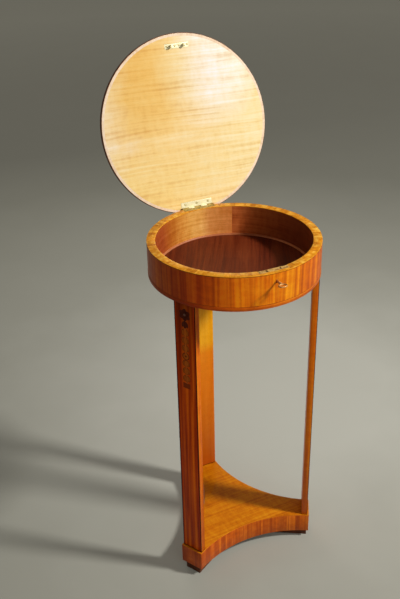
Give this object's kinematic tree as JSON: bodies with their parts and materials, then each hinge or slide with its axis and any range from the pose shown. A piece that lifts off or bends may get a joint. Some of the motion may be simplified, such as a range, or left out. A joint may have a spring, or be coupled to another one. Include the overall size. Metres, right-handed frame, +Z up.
{
  "type": "round work table",
  "caption": "Round satinwood sewing table: a shallow locked drum with a hinged lid on flat inlaid legs, standing on a scooped three-cornered plinth.",
  "frame": {"origin": "on the table's axis at floor level", "axes": "+Z up, -Y towards the front with the lock, +Y towards the hinge, +X to the right seen from the front"},
  "size_m": [0.363, 0.4679, 1.0891],
  "materials": {
    "satinwood": "French polished satinwood veneer, golden orange with vertical figure",
    "pale_satinwood": "unfaded straw-coloured satinwood veneer, lightly polished",
    "red_satinwood": "French polished satinwood crossbanding, redder than the fields",
    "mahogany": "dark red-brown mahogany, waxed",
    "lining_wood": "tan mahogany lining, waxed",
    "bead_wood": "pinkish brown bead and border, polished",
    "dark_wood": "ebonised and rosewood banding, inlay and sole, polished",
    "inlay_wood": "tinted boxwood inlay, polished flush",
    "brass": "rubbed brass, bright",
    "old_brass": "dull greenish old brass"
  },
  "bodies": {
    "table": {"drum_carcass": "mahogany", "drum_veneer": "satinwood", "drum_base_band": "red_satinwood", "rim_crossband": "satinwood", "well_lining_left": "lining_wood", "well_lining_right": "mahogany", "well_bead": "bead_wood", "well_floor": "mahogany", "leg_back": "satinwood", "leg_front_left": "satinwood", "leg_front_right": "satinwood", "leg_edge_banding": "dark_wood", "leg_inlay_dark": "dark_wood", "leg_inlay_light": "inlay_wood", "plinth_core": "mahogany", "plinth_edge_veneer": "red_satinwood", "plinth_top_veneer": "satinwood", "plinth_sole": "dark_wood", "hinge_lower_leaf": "brass", "hinge_pin": "old_brass", "hinge_lower_screws": "old_brass", "lock_plate": "old_brass", "lock_case": "old_brass", "lock_screws": "old_brass"},
    "lid": {"lid_core": "mahogany", "lid_edge_band": "red_satinwood", "lid_top_veneer": "satinwood", "lid_top_crossband": "red_satinwood", "lid_underside_veneer": "pale_satinwood", "lid_underside_border": "bead_wood", "hinge_upper_leaf": "brass", "hinge_upper_screws": "old_brass", "link_plate": "brass", "link_plate_screws": "old_brass"},
    "key": {"key": "brass"},
    "bolt": {"lock_bolt": "brass"}
  },
  "joints": [
    {"name": "lid_hinge", "type": "hinge", "parent": "table", "child": "lid", "pos_m": [0, 0.17052, 0.7491], "axis": [1, 0, 0], "range_deg": [0, 104.5]},
    {"name": "key_turn", "type": "hinge", "parent": "table", "child": "key", "pos_m": [0, -0.17, 0.7345], "axis": [0, 1, 0], "range_deg": [-90, 270]},
    {"name": "bolt_slide", "type": "slide", "parent": "table", "child": "bolt", "axis": [1, 0, 0], "range_m": [-0.00151, 0.00451]}
  ],
  "couplings": [
    {"joint": "bolt_slide", "follows": "key_turn", "m_per_rad": 0.00095493}
  ]
}
